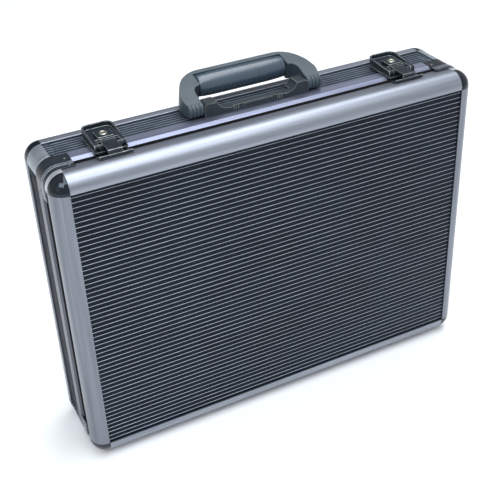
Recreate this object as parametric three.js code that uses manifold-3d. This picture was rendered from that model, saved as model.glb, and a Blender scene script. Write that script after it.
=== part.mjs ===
// A hard-sided attaché case: two framed shells that meet at a shallow V groove, a hinge along the
// bottom, two key-lock draw latches and a folding handle on top. It stands on four feet on its
// hinge side. Millimetres. X runs along the length, -Y is the lid's face, +Z is up, and the
// origin is on the floor under the middle of the case.
import * as THREE from "three";
import { mergeVertices } from "three/addons/utils/BufferGeometryUtils.js";
import Module from "manifold-3d";

const wasm = await Module();
wasm.setup();

// ---------------------------------------------------------------- driving dimensions

// The case as a whole.
const caseLength = 455;
const caseHeight = 330;
const caseDepth = 101.3;
const lidDepth = 31;
const footHeight = 5;
const gap = 0.3;

// The edge extrusions, and the panels that slide into their channels.
const edgeRadius = 15;
const edgeLip = 0.8;
const wall = 1.6;
const panelThickness = 3;
const liningThickness = 2;

// The V groove round the case, where lid and base meet.
const grooveDepth = 2.5;
const lidSlopeWidth = 12.3;
const baseSlopeWidth = 8.2;
const railFlatWidth = 12.4;
const backLipWidth = 5.5;
const panelGrip = 3;
const tongueReach = 3;

// The plastic corner brackets over the groove.
const bracketLeg = 31;

// The hinges.
const hingeOffset = 150;
const hingeWidth = 60;
const endKnuckle = 12;
const knuckleRadius = 2.4;
const hingePinRadius = 1;
const hingeAxisOut = 0.5;
const leafThickness = 0.8;

// The feet.
const footRadius = 5.5;
const footOffset = 170;

// The latches.
const latchOffset = 159;
const latchWidth = 31;
const latchBaseWidth = 33;
const latchBaseLength = 40;
const latchBaseThickness = 1.5;
const leverLength = 40;
const leverThickness = 3.8;
const leverArmWidth = 5;
const leverArmRadius = 2.9;
const leverPinRadius = 1.3;
const lugWidth = 2.7;
const hookBack = 6;
const hookRise = 1.2;
const hookWidth = 14;
const hookReach = 21;
const hookPinRadius = 1.1;
const catchLip = 3;
const keyPlateWidth = 17;
const keyPlateLength = 16;
const keyPlateRise = 1.3;
const plugRadius = 2.75;

// The handle.
const handlePivotFromFront = 56;
const handleLean = 75;
const handleBaseLength = 114;
const handleBaseDepth = 15;
const handleBlockHeight = 13.5;
const handleBlockLength = 13;
const barrelLength = 15.4;
const barrelRadius = 7;
const handlePinRadius = 3;
const shoulderSpread = 2;
const armThickness = 14;
const gripReach = 35;
const gripRadius = 11.4;
const gripHalfLength = 48;

// ---------------------------------------------------------------- derived places

const frontY = -caseDepth / 2;
const bottomZ = footHeight;
const topZ = footHeight + caseHeight;
const cornerSize = edgeRadius + edgeLip;
const edgeEnd = cornerSize + gap;
const innerRadius = edgeRadius - wall;
const channelWidth = panelThickness + 2 * gap;
const lipFront = wall + channelWidth;
const lipBack = lipFront + wall;
const lidFlatEnd = lidDepth - lidSlopeWidth;
const baseStart = lidDepth + gap;
const railFlatStart = baseStart + baseSlopeWidth;
const railEnd = railFlatStart + railFlatWidth;
const backLipStart = edgeRadius + backLipWidth;
const backLipFromFront = caseDepth - backLipStart;
const hingeAxisY = frontY + lidDepth + gap / 2;
const hingeAxisZ = bottomZ - hingeAxisOut;

// ---------------------------------------------------------------- geometry helpers

function solid(geometry) {
  const bare = new THREE.BufferGeometry();
  const source = geometry.index ? geometry.toNonIndexed() : geometry;
  bare.setAttribute("position", source.getAttribute("position"));
  const merged = mergeVertices(bare, 1e-4);
  return new wasm.Manifold(
    new wasm.Mesh({
      numProp: 3,
      vertProperties: merged.attributes.position.array,
      triVerts: new Uint32Array(merged.index.array),
    }),
  );
}

function geometryOf(manifold) {
  const mesh = manifold.getMesh();
  const geometry = new THREE.BufferGeometry();
  geometry.setAttribute("position", new THREE.BufferAttribute(mesh.vertProperties, 3));
  geometry.setIndex(new THREE.BufferAttribute(mesh.triVerts, 1));
  geometry.computeVertexNormals();
  return geometry;
}

function join(...geometries) {
  return geometryOf(geometries.map(solid).reduce((all, next) => all.add(next)));
}

function cut(geometry, ...tools) {
  return geometryOf(tools.map(solid).reduce((left, tool) => left.subtract(tool), solid(geometry)));
}

function box(x0, x1, y0, y1, z0, z1) {
  const geometry = new THREE.BoxGeometry(x1 - x0, y1 - y0, z1 - z0);
  return geometry.translate((x0 + x1) / 2, (y0 + y1) / 2, (z0 + z1) / 2);
}

// A round bar along X, from x0 to x1 about the line through (y, z).
function barX(radius, x0, x1, y, z, sides = 16) {
  const geometry = new THREE.CylinderGeometry(radius, radius, x1 - x0, sides);
  return geometry.rotateZ(-Math.PI / 2).translate((x0 + x1) / 2, y, z);
}

// A shape drawn in (X, Y), extruded along Z from 0 to the length.
function prism(shape, length, curveSegments = 6) {
  return new THREE.ExtrudeGeometry(shape, { depth: length, bevelEnabled: false, curveSegments });
}

// A shape drawn in (Y, Z), extruded along X between x0 and x1.
function prismX(shape, x0, x1, curveSegments = 6) {
  const geometry = prism(shape, x1 - x0, curveSegments);
  const turn = new THREE.Matrix4().makeBasis(
    new THREE.Vector3(0, 1, 0),
    new THREE.Vector3(0, 0, 1),
    new THREE.Vector3(1, 0, 0),
  );
  return geometry.applyMatrix4(turn).translate(x0, 0, 0);
}

function polygon(points) {
  return new THREE.Shape(points.map(([x, y]) => new THREE.Vector2(x, y)));
}

function roundedRectangle(halfWidth, halfHeight, radius) {
  const shape = new THREE.Shape();
  const x = halfWidth - radius;
  const y = halfHeight - radius;
  shape.absarc(x, y, radius, 0, Math.PI / 2, false);
  shape.absarc(-x, y, radius, Math.PI / 2, Math.PI, false);
  shape.absarc(-x, -y, radius, Math.PI, 1.5 * Math.PI, false);
  shape.absarc(x, -y, radius, 1.5 * Math.PI, 2 * Math.PI, false);
  return shape;
}

// ---------------------------------------------------------------- placing pieces

const satinAluminium = { color: 0x9698aa, roughness: 0.4, metalness: 0.9 };
const silverAluminium = { color: 0xaab2b9, roughness: 0.35, metalness: 0.9 };
const ribbedPanel = { color: 0x46525c, roughness: 0.5, metalness: 0.3 };
const darkPanel = { color: 0x1c202a, roughness: 0.35, metalness: 0.1 };
const blackPlastic = { color: 0x16181c, roughness: 0.3, metalness: 0 };
const latchMetal = { color: 0x283034, roughness: 0.35, metalness: 0.6 };
const steel = { color: 0xb8b8b0, roughness: 0.3, metalness: 1 };
const greyPlastic = { color: 0x3c4b55, roughness: 0.45, metalness: 0 };
const blackFoam = { color: 0x1e1e20, roughness: 0.95, metalness: 0 };
const blackRubber = { color: 0x1a1a1a, roughness: 0.9, metalness: 0 };

function piece(name, geometry, finish) {
  const mesh = new THREE.Mesh(geometry, new THREE.MeshStandardMaterial(finish));
  mesh.name = name;
  return mesh;
}

// The four sides: "in" points from the outer surface to the inside of the case.
const sides = {
  top: { inward: [0, 0, -1], origin: [0, topZ], span: caseLength },
  bottom: { inward: [0, 0, 1], origin: [0, bottomZ], span: caseLength },
  left: { inward: [1, 0, 0], origin: [-caseLength / 2, (topZ + bottomZ) / 2], span: caseHeight },
  right: { inward: [-1, 0, 0], origin: [caseLength / 2, (topZ + bottomZ) / 2], span: caseHeight },
};

// Lays a mesh drawn with x = depth below a side's outer surface and y = distance from the front
// (or back) face against that side, its z centred on the side's length.
function placeOnSide(mesh, side, fromBack = false) {
  const { inward, origin } = sides[side];
  const u = new THREE.Vector3(...inward);
  const v = new THREE.Vector3(0, fromBack ? -1 : 1, 0);
  const along = new THREE.Vector3().crossVectors(u, v);
  mesh.quaternion.setFromRotationMatrix(new THREE.Matrix4().makeBasis(u, v, along));
  mesh.position.set(origin[0], fromBack ? -frontY : frontY, origin[1]);
  return mesh;
}

// The four corners, seen from the front.
const corners = [
  { name: "top_left", x: -1, z: 1 },
  { name: "top_right", x: 1, z: 1 },
  { name: "bottom_left", x: -1, z: -1 },
  { name: "bottom_right", x: 1, z: -1 },
];

// Puts a mesh drawn in a corner at the origin, with its depth along z, into a corner of the case.
// The drawing is the same either way round, so the two axes swap where the corner is mirrored.
function placeInCorner(mesh, corner, fromBack = false) {
  const a = new THREE.Vector3(-corner.x, 0, 0);
  const b = new THREE.Vector3(0, 0, -corner.z);
  const depth = new THREE.Vector3(0, fromBack ? -1 : 1, 0);
  const righthanded = new THREE.Vector3().crossVectors(a, b).dot(depth) > 0;
  const [first, second] = righthanded ? [a, b] : [b, a];
  mesh.quaternion.setFromRotationMatrix(new THREE.Matrix4().makeBasis(first, second, depth));
  mesh.position.set(
    (corner.x * caseLength) / 2,
    fromBack ? -frontY : frontY,
    corner.z > 0 ? topZ : bottomZ,
  );
  return mesh;
}

// ---------------------------------------------------------------- edge extrusions

// The rounded outer wall and the panel channel that the lid's and the base's edges share. The
// outline goes on from the foot of the inner wall, at (wall, edgeRadius).
function finishRoundedEdge(shape) {
  const atDepth = (v) => Math.PI + Math.asin((edgeRadius - v) / innerRadius);
  shape.absarc(edgeRadius, edgeRadius, innerRadius, Math.PI, atDepth(lipBack), false);
  shape.lineTo(cornerSize, lipBack);
  shape.lineTo(cornerSize, lipFront);
  shape.absarc(edgeRadius, edgeRadius, innerRadius, atDepth(lipFront), 1.5 * Math.PI, false);
  shape.lineTo(cornerSize, wall);
  shape.lineTo(cornerSize, 0);
  return shape;
}

function startRoundedEdge() {
  const shape = new THREE.Shape();
  shape.moveTo(cornerSize, 0);
  shape.lineTo(edgeRadius, 0);
  shape.absarc(edgeRadius, edgeRadius, edgeRadius, 1.5 * Math.PI, Math.PI, true);
  return shape;
}

function lidEdgeSection() {
  const shape = startRoundedEdge();
  shape.lineTo(0, lidFlatEnd);
  shape.lineTo(grooveDepth, lidDepth);
  shape.lineTo(grooveDepth + wall, lidDepth);
  shape.lineTo(wall, lidFlatEnd);
  return finishRoundedEdge(shape);
}

// The base's edge also holds the back of a side panel, between two lips.
function backEdgeSection() {
  const shape = startRoundedEdge();
  const channelFloor = backLipStart - panelGrip - gap;
  shape.lineTo(0, backLipStart);
  shape.lineTo(wall, backLipStart);
  shape.lineTo(wall, channelFloor);
  shape.lineTo(lipFront, channelFloor);
  shape.lineTo(lipFront, backLipStart);
  shape.lineTo(lipBack, backLipStart);
  shape.lineTo(lipBack, channelFloor - wall);
  shape.lineTo(wall, channelFloor - wall);
  return finishRoundedEdge(shape);
}

// The base's rail along the groove: slope, flat, side-panel channel, and on three sides a tongue
// that reaches into the lid.
function closingRailSection(withTongue) {
  const channelFloor = railEnd - panelGrip - gap;
  const shape = polygon([
    [grooveDepth, baseStart],
    [0, railFlatStart],
    [0, railEnd],
    [wall, railEnd],
    [wall, channelFloor],
    [lipFront, channelFloor],
    [lipFront, railEnd],
    [lipBack, railEnd],
    [lipBack, channelFloor - wall],
    [wall, channelFloor - wall],
    [wall, railFlatStart],
    [grooveDepth + wall, baseStart + wall],
  ]);
  if (withTongue) {
    shape.lineTo(lipBack, baseStart + wall);
    shape.lineTo(lipBack, lidDepth - tongueReach);
    shape.lineTo(lipFront, lidDepth - tongueReach);
    shape.lineTo(lipFront, baseStart);
  } else {
    shape.lineTo(grooveDepth + wall, baseStart);
  }
  return shape;
}

function centredPrism(shape, length) {
  return prism(shape, length).translate(0, 0, -length / 2);
}

// A lid edge gives way to the corner brackets at both ends of its slope.
function lidEdge(side) {
  const length = sides[side].span - 2 * edgeEnd;
  const start = sides[side].span / 2 - bracketLeg - gap;
  const bracketRoom = (z0, z1) =>
    box(-1, grooveDepth + 2 * wall, lidFlatEnd - gap, lidDepth + 1, z0, z1);
  const edge = cut(
    centredPrism(lidEdgeSection(), length),
    bracketRoom(start, length),
    bracketRoom(-length, -start),
  );
  return placeOnSide(piece("lid_edge_" + side, edge, satinAluminium), side);
}

function backEdge(side) {
  const edge = centredPrism(backEdgeSection(), sides[side].span - 2 * edgeEnd);
  return placeOnSide(piece("back_edge_" + side, edge, satinAluminium), side, true);
}

function closingRail(side) {
  const section = closingRailSection(side !== "bottom");
  const rail = centredPrism(section, sides[side].span - 2 * (bracketLeg + gap));
  return placeOnSide(piece("closing_rail_" + side, rail, silverAluminium), side);
}

// ---------------------------------------------------------------- panels and linings

// Face panels slide under the edge lips; their corners are rounded to pass the corner balls.
const panelInset =
  edgeRadius - Math.sqrt(innerRadius ** 2 - (innerRadius - gap) ** 2) + gap;
const panelCornerRadius = (cornerSize - panelInset + gap) / (1 - Math.SQRT1_2);

function facePanel(name, fromBack) {
  const outline = roundedRectangle(
    caseLength / 2 - panelInset,
    caseHeight / 2 - panelInset,
    panelCornerRadius,
  );
  const panel = piece(name, prism(outline, panelThickness, 5), darkPanel);
  const face = wall + gap;
  panel.rotation.x = Math.PI / 2;
  panel.position.set(0, fromBack ? -frontY - face : frontY + face + panelThickness, 0);
  panel.position.z = (topZ + bottomZ) / 2;
  return panel;
}

// A soft lining board behind each face panel, inside the curve of the edges.
const liningFace = lipBack + gap;
const liningCornerRadius = Math.sqrt(
  (cornerSize - wall - gap) ** 2 - (cornerSize - liningFace) ** 2,
);
const liningInset = cornerSize - liningCornerRadius;

function lining(name, fromBack) {
  const outline = roundedRectangle(
    caseLength / 2 - liningInset,
    caseHeight / 2 - liningInset,
    liningCornerRadius,
  );
  const sheet = piece(name, prism(outline, liningThickness, 5), blackFoam);
  sheet.rotation.x = Math.PI / 2;
  sheet.position.y = fromBack ? -frontY - liningFace : frontY + liningFace + liningThickness;
  sheet.position.z = (topZ + bottomZ) / 2;
  return sheet;
}

function sidePanel(side) {
  const outer = wall + gap;
  const front = railEnd - panelGrip;
  const back = backLipFromFront + panelGrip;
  const halfSpan = sides[side].span / 2 - edgeEnd;
  const panel = box(outer, outer + panelThickness, front, back, -halfSpan, halfSpan);
  return placeOnSide(piece("side_panel_" + side, panel, ribbedPanel), side);
}

// ---------------------------------------------------------------- corners

// A pressed ball over three edges, with a round sleeve that runs on along the depth.
function cornerBall(sleeveEnd) {
  const c = cornerSize;
  const rounded = (radius) => {
    const sphere = solid(new THREE.SphereGeometry(radius, 24, 12).translate(c, c, c));
    const sleeve = new THREE.CylinderGeometry(radius, radius, sleeveEnd - c + 1, 24);
    return sphere.add(solid(sleeve.rotateX(Math.PI / 2).translate(c, c, (sleeveEnd + c + 1) / 2)));
  };
  const shell = rounded(c).subtract(rounded(c - wall));
  return geometryOf(shell.intersect(solid(box(-1, c, -1, c, -1, sleeveEnd))));
}

// An L of flat legs joined by a quarter round, extruded along the depth.
function cornerWrap(leg, thickness, start, end) {
  const shape = new THREE.Shape();
  const c = cornerSize;
  shape.moveTo(leg, 0);
  shape.absarc(c, c, c, 1.5 * Math.PI, Math.PI, true);
  if (leg > c) shape.lineTo(0, leg);
  if (leg > c) shape.lineTo(thickness, leg);
  shape.absarc(c, c, c - thickness, Math.PI, 1.5 * Math.PI, false);
  if (leg > c) shape.lineTo(leg, thickness);
  return prism(shape, end - start, 6).translate(0, 0, start);
}

function lidCorner(corner) {
  const ball = piece("lid_ball_" + corner.name, cornerBall(lidFlatEnd - gap), blackPlastic);
  const wrap = cornerWrap(bracketLeg, wall, lidFlatEnd, lidDepth);
  const bracket = piece("lid_bracket_" + corner.name, wrap, blackPlastic);
  return [placeInCorner(ball, corner), placeInCorner(bracket, corner)];
}

function baseCorner(corner) {
  const wrap = cornerWrap(bracketLeg, wall, baseStart, railEnd);
  const round = cornerWrap(cornerSize, wall + gap + panelThickness, railEnd + gap,
    backLipFromFront - gap);
  return [
    placeInCorner(piece("base_bracket_" + corner.name, wrap, blackPlastic), corner),
    placeInCorner(piece("corner_round_" + corner.name, round, silverAluminium), corner),
    placeInCorner(piece("back_ball_" + corner.name, cornerBall(backLipStart), blackPlastic),
      corner, true),
  ];
}

// ---------------------------------------------------------------- hinges

// Depth of the groove's two slopes below the case's outer surface, at a distance from the front.
const lidSlopeAt = (v) => ((v - lidFlatEnd) / lidSlopeWidth) * grooveDepth;
const baseSlopeAt = (v) => ((railFlatStart - v) / baseSlopeWidth) * grooveDepth;

// A leaf lies on its slope, 0.3 mm clear of it, and ends inside its knuckle.
function leafPlate(slopeAt, start, end) {
  const y = (v) => frontY + v;
  const z = (v, out) => bottomZ + slopeAt(v) - gap - out;
  return polygon([
    [y(start), z(start, 0)],
    [y(start), z(start, leafThickness)],
    [y(end), z(end, leafThickness)],
    [y(end), z(end, 0)],
  ]);
}

function hingeLeaves(name, x) {
  const half = hingeWidth / 2;
  const inner = half - endKnuckle;
  const knuckle = (x0, x1) => barX(knuckleRadius, x + x0, x + x1, hingeAxisY, hingeAxisZ);
  const bore = barX(hingePinRadius + gap, x - half, x + half, hingeAxisY, hingeAxisZ, 12);
  const pin = barX(hingePinRadius, x - half, x + half, hingeAxisY, hingeAxisZ, 12);
  const lidPlate = prismX(leafPlate(lidSlopeAt, lidFlatEnd + 2, lidDepth - 0.7), x - half, x + half);
  const basePlate = prismX(
    leafPlate(baseSlopeAt, baseStart + 0.7, railFlatStart - 1), x - half, x + half);
  const endRoom = (x0, x1) =>
    barX(knuckleRadius + gap, x + x0, x + x1, hingeAxisY, hingeAxisZ);
  const lidLeaf = cut(
    join(cut(lidPlate, endRoom(-half - 1, -inner + gap), endRoom(inner - gap, half + 1)),
      knuckle(-inner + gap, inner - gap)),
    bore,
  );
  const baseLeaf = join(
    cut(basePlate, endRoom(-inner, inner)),
    knuckle(-half, -inner),
    knuckle(inner, half),
    pin,
  );
  return {
    lid: piece("lid_hinge_leaf_" + name, lidLeaf, steel),
    base: piece("base_hinge_leaf_" + name, baseLeaf, steel),
  };
}

// ---------------------------------------------------------------- feet

// Two feet stand on the bottom rail's flat, and two on the bottom side panel.
function foot(name, x, fromFront, top) {
  const profile = [
    [0, 0],
    [footRadius - 0.8, 0],
    [footRadius, 0.8],
    [footRadius - 0.3, top],
    [0, top],
  ];
  const lathe = new THREE.LatheGeometry(profile.map(([r, h]) => new THREE.Vector2(r, h)), 20);
  const mesh = piece(name, lathe, blackRubber);
  mesh.rotation.x = Math.PI / 2;
  mesh.position.set(x, frontY + fromFront, 0);
  return mesh;
}

function feet() {
  const onRail = railFlatStart + railFlatWidth / 2;
  const onPanel = (railEnd + backLipFromFront) / 2;
  return [-1, 1].flatMap((s) => {
    const hand = s < 0 ? "left" : "right";
    return [
      foot("foot_front_" + hand, s * footOffset, onRail, footHeight - gap),
      foot("foot_back_" + hand, s * footOffset, onPanel, footHeight + wall),
    ];
  });
}

// ---------------------------------------------------------------- latches

// The lever turns on two lugs of the latch base, at the front of the base plate.
const latchSeatZ = topZ + gap;
const leverPivotZ = latchSeatZ + latchBaseThickness + gap + leverArmRadius;
const leverPivotY = frontY + baseStart + leverArmRadius + 2;
const hookPivotY = leverPivotY + hookBack;
const hookPivotZ = leverPivotZ + hookRise;
const leverTopZ = leverPivotZ + leverArmRadius;
const leverPlateY = hookPivotY + hookPinRadius + 1.2;
const leverBackY = leverPivotY + leverLength;
const armInner = latchWidth / 2 - leverArmWidth;

function latchBase(name, x) {
  const plateFront = frontY + baseStart;
  const plateTop = latchSeatZ + latchBaseThickness;
  const plate = box(
    x - latchBaseWidth / 2, x + latchBaseWidth / 2,
    plateFront, plateFront + latchBaseLength, latchSeatZ, plateTop,
  );
  const parts = [plate];
  for (const s of [-1, 1]) {
    const inner = armInner - gap - lugWidth;
    const [x0, x1] = s < 0 ? [-inner - lugWidth, -inner] : [inner, inner + lugWidth];
    const [p0, p1] = s < 0 ? [x0 - leverArmWidth / 2, x0 + 1] : [x1 - 1, x1 + leverArmWidth / 2];
    const radius = leverArmRadius - gap;
    parts.push(
      box(x + x0, x + x1, leverPivotY - radius, leverPivotY + radius, latchSeatZ, leverPivotZ),
      barX(radius, x + x0, x + x1, leverPivotY, leverPivotZ),
      barX(leverPinRadius, x + p0, x + p1, leverPivotY, leverPivotZ, 12),
    );
  }
  return piece("latch_base_" + name, join(...parts), latchMetal);
}

// The lever: two arms to the pivot, a plate behind them, and the raised seat of the lock.
function latchLever(name, x) {
  const half = latchWidth / 2;
  const r = leverArmRadius;
  const side = new THREE.Shape();
  side.absarc(leverPivotY, leverPivotZ, r, Math.PI / 2, 1.75 * Math.PI, false);
  side.lineTo(leverPivotY + 2 * r, leverTopZ - leverThickness);
  side.lineTo(leverBackY - 1.5, leverTopZ - leverThickness);
  side.lineTo(leverBackY, leverTopZ - leverThickness + 1.5);
  side.lineTo(leverBackY, leverTopZ - 1.2);
  side.lineTo(leverBackY - 1.2, leverTopZ);
  const body = prismX(side, x - half, x + half);
  const keyY = leverPlateY + 1;
  const keyPlate = box(
    x - keyPlateWidth / 2, x + keyPlateWidth / 2,
    keyY, keyY + keyPlateLength, leverTopZ - 1, leverTopZ + keyPlateRise,
  );
  const armGap = box(
    x - armInner, x + armInner, leverPivotY - 2 * r, leverPlateY, latchSeatZ, leverTopZ + 1,
  );
  const pinHole = (radius, y, z, depth) =>
    barX(radius, x - armInner - depth, x + armInner + depth, y, z, 12);
  const plugHole = new THREE.CylinderGeometry(plugRadius + gap, plugRadius + gap, 30, 20);
  plugHole.rotateX(Math.PI / 2).translate(x, keyY + keyPlateLength / 2, leverTopZ);
  const lever = cut(
    join(body, keyPlate),
    armGap,
    pinHole(leverPinRadius + gap, leverPivotY, leverPivotZ, leverArmWidth / 2 + gap),
    pinHole(hookPinRadius + gap, hookPivotY, hookPivotZ, leverArmWidth / 2),
    plugHole,
  );
  return piece("latch_lever_" + name, lever, latchMetal);
}

// The hook hangs between the lever's arms and reaches over the catch on the lid.
function latchHook(name, x) {
  const half = hookWidth / 2;
  const r = hookPinRadius + 0.7;
  const noseY = hookPivotY - hookReach;
  const top = hookPivotZ + 1.1;
  const under = hookPivotZ - 0.9;
  const noseZ = topZ + catchLip + 0.4;
  const side = new THREE.Shape();
  side.absarc(hookPivotY, hookPivotZ, r, -0.75 * Math.PI, 0.7 * Math.PI, false);
  side.lineTo(hookPivotY - 3, top);
  side.lineTo(noseY + 1.5, top);
  side.lineTo(noseY, top - 1.5);
  side.lineTo(noseY, noseZ);
  side.lineTo(noseY + 2, noseZ);
  side.lineTo(noseY + 3, under);
  side.lineTo(hookPivotY - 3, under);
  const pinEnd = armInner + leverArmWidth / 2 - gap;
  const hook = join(
    prismX(side, x - half, x + half),
    barX(hookPinRadius, x - pinEnd, x + pinEnd, hookPivotY, hookPivotZ, 12),
  );
  return piece("latch_hook_" + name, hook, latchMetal);
}

// The catch lies on the lid's slope, with a lip that stands up at its front.
function latchCatch(name, x) {
  const front = lidFlatEnd + 1.3;
  const back = lidDepth - gap;
  const y = (v) => frontY + v;
  const z = (v) => topZ - lidSlopeAt(v) + gap;
  const thickness = 1.2;
  const section = polygon([
    [y(front), z(front)],
    [y(back), z(back)],
    [y(back), z(back) + thickness],
    [y(front + wall), z(front + wall) + thickness],
    [y(front + wall), topZ + catchLip],
    [y(front), topZ + catchLip],
  ]);
  const half = latchBaseWidth / 2;
  return piece("latch_catch_" + name, prismX(section, x - half, x + half), latchMetal);
}

// The key cylinder, with a slot for the key in its face.
function lockPlug(name, x) {
  const y = leverPlateY + 1 + keyPlateLength / 2;
  const bottom = leverTopZ - leverThickness + gap;
  const top = leverTopZ + keyPlateRise + 0.3;
  const barrel = new THREE.CylinderGeometry(plugRadius, plugRadius, top - bottom, 20);
  barrel.rotateX(Math.PI / 2).translate(x, y, (top + bottom) / 2);
  const keyway = box(x - 0.4, x + 0.4, y - 1.7, y + 1.7, top - 1.5, top + 1);
  return piece("lock_plug_" + name, cut(barrel, keyway), steel);
}

// ---------------------------------------------------------------- handle

const handlePivotY = frontY + handlePivotFromFront;
const handlePivotZ = topZ + barrelRadius + gap + 0.1;
const barrelInner = handleBaseLength / 2 + gap;
const barrelOuter = barrelInner + barrelLength;

// The base: a bar with a scooped middle between two raised blocks that carry the pivot pins.
function handleBase() {
  const half = handleBaseLength / 2;
  const blockEnd = half - handleBlockLength;
  const seat = topZ + gap;
  const shape = new THREE.Shape();
  shape.moveTo(-half, seat);
  shape.lineTo(half, seat);
  shape.lineTo(half, seat + handleBlockHeight - 4);
  shape.absarc(half - 4, seat + handleBlockHeight - 4, 4, 0, Math.PI / 2, false);
  shape.lineTo(blockEnd, seat + handleBlockHeight);
  shape.quadraticCurveTo(blockEnd - 4, seat + 4, blockEnd - 16, seat + 4.5);
  shape.lineTo(blockEnd - 19, seat + 6.5);
  shape.lineTo(19 - blockEnd, seat + 6.5);
  shape.lineTo(16 - blockEnd, seat + 4.5);
  shape.quadraticCurveTo(4 - blockEnd, seat + 4, -blockEnd, seat + handleBlockHeight);
  shape.lineTo(4 - half, seat + handleBlockHeight);
  shape.absarc(4 - half, seat + handleBlockHeight - 4, 4, Math.PI / 2, Math.PI, false);
  const bar = prism(shape, handleBaseDepth, 5).rotateX(Math.PI / 2);
  bar.applyMatrix4(new THREE.Matrix4().makeTranslation(0, handlePivotY + handleBaseDepth / 2, 0));
  const pinEnd = barrelOuter - 2;
  return piece(
    "handle_base",
    join(
      bar,
      barX(handlePinRadius, -pinEnd, -half + 2, handlePivotY, handlePivotZ),
      barX(handlePinRadius, half - 2, pinEnd, handlePivotY, handlePivotZ),
    ),
    greyPlastic,
  );
}

// The handle, drawn upright about its pivot line and then leant back: an arch of two arms, a
// barrel round each pivot pin, and a thick round grip.
function handle() {
  const inner = barrelInner;
  const outer = barrelOuter;
  const gripInside = gripReach - gripRadius;
  const gripOutside = gripReach + gripRadius - 3;
  const shape = new THREE.Shape();
  shape.moveTo(outer, 0);
  shape.lineTo(outer + shoulderSpread, gripReach / 2);
  shape.quadraticCurveTo(outer + 1, gripReach, gripHalfLength - 3, gripOutside);
  shape.lineTo(3 - gripHalfLength, gripOutside);
  shape.quadraticCurveTo(-outer - 1, gripReach, -outer - shoulderSpread, gripReach / 2);
  shape.lineTo(-outer, 0);
  shape.lineTo(-inner, 0);
  shape.lineTo(-inner, gripInside - 8);
  shape.quadraticCurveTo(-inner, gripInside, 8 - inner, gripInside);
  shape.lineTo(inner - 8, gripInside);
  shape.quadraticCurveTo(inner, gripInside, inner, gripInside - 8);
  shape.lineTo(inner, 0);
  const arch = prism(shape, armThickness, 5).translate(0, 0, -armThickness / 2);
  arch.rotateX(Math.PI / 2);
  const profile = [
    [0, -gripHalfLength],
    [gripRadius * 0.7, -gripHalfLength],
    [gripRadius, 12 - gripHalfLength],
    [gripRadius, gripHalfLength - 12],
    [gripRadius * 0.7, gripHalfLength],
    [0, gripHalfLength],
  ];
  const grip = new THREE.LatheGeometry(profile.map(([r, h]) => new THREE.Vector2(r, h)), 20);
  grip.rotateZ(Math.PI / 2).translate(0, 0, gripReach);
  const body = cut(
    join(arch, grip, barX(barrelRadius, inner, outer, 0, 0), barX(barrelRadius, -outer, -inner, 0, 0)),
    barX(handlePinRadius + gap, inner - 1, outer - 1, 0, 0),
    barX(handlePinRadius + gap, 1 - outer, 1 - inner, 0, 0),
  );
  const mesh = piece("handle", body, greyPlastic);
  mesh.rotation.x = THREE.MathUtils.degToRad(-handleLean);
  mesh.position.set(0, handlePivotY, handlePivotZ);
  return mesh;
}

// ---------------------------------------------------------------- assembly

const suitcase = new THREE.Group();
const base = new THREE.Group();
const lid = new THREE.Group();
suitcase.add(base, lid);

lid.add(facePanel("lid_panel", false), lining("lid_lining", false));
base.add(facePanel("back_panel", true), lining("base_lining", true));
for (const side of Object.keys(sides)) {
  lid.add(lidEdge(side));
  base.add(backEdge(side), sidePanel(side), closingRail(side));
}
for (const corner of corners) {
  lid.add(...lidCorner(corner));
  base.add(...baseCorner(corner));
}
for (const [name, s] of [["left", -1], ["right", 1]]) {
  const leaves = hingeLeaves(name, s * hingeOffset);
  lid.add(leaves.lid, latchCatch(name, s * latchOffset));
  base.add(leaves.base, latchBase(name, s * latchOffset));
  base.add(latchLever(name, s * latchOffset), latchHook(name, s * latchOffset));
  base.add(lockPlug(name, s * latchOffset));
}
base.add(...feet(), handleBase(), handle());

export default suitcase;
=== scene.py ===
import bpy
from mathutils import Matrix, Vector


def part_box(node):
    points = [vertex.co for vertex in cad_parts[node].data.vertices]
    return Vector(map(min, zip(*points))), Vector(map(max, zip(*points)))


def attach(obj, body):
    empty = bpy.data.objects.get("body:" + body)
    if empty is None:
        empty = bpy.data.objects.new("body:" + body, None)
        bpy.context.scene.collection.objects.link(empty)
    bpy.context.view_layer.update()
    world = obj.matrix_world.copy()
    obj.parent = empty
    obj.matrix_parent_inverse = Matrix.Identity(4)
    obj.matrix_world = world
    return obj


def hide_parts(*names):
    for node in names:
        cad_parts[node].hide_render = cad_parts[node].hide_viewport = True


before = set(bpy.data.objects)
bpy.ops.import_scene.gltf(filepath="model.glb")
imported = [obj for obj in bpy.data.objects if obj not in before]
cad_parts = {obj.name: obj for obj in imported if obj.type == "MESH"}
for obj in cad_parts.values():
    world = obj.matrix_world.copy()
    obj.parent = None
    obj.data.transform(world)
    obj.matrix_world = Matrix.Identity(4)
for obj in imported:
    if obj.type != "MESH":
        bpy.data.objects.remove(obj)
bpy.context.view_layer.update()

import math
import bmesh
import bpy
from mathutils import Matrix, Vector

# The camera stands in front of the case's left end and looks down on its lid and top.
camera = bpy.data.objects.new("camera", bpy.data.cameras.new("camera"))
bpy.context.collection.objects.link(camera)
bpy.context.scene.camera = camera
forward = Vector((0.36225, 0.75230, -0.55028))
right = Vector((0.88920, -0.45595, -0.03798))
turned = Matrix((right, -forward.cross(right), -forward)).transposed()
camera.matrix_world = Matrix.Translation((-0.3944, -0.7863, 0.7421)) @ turned.to_4x4()
camera.data.lens = 70.1
camera.data.sensor_width = 36
camera.data.shift_x = 0.0007
camera.data.shift_y = 0.0023


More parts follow.
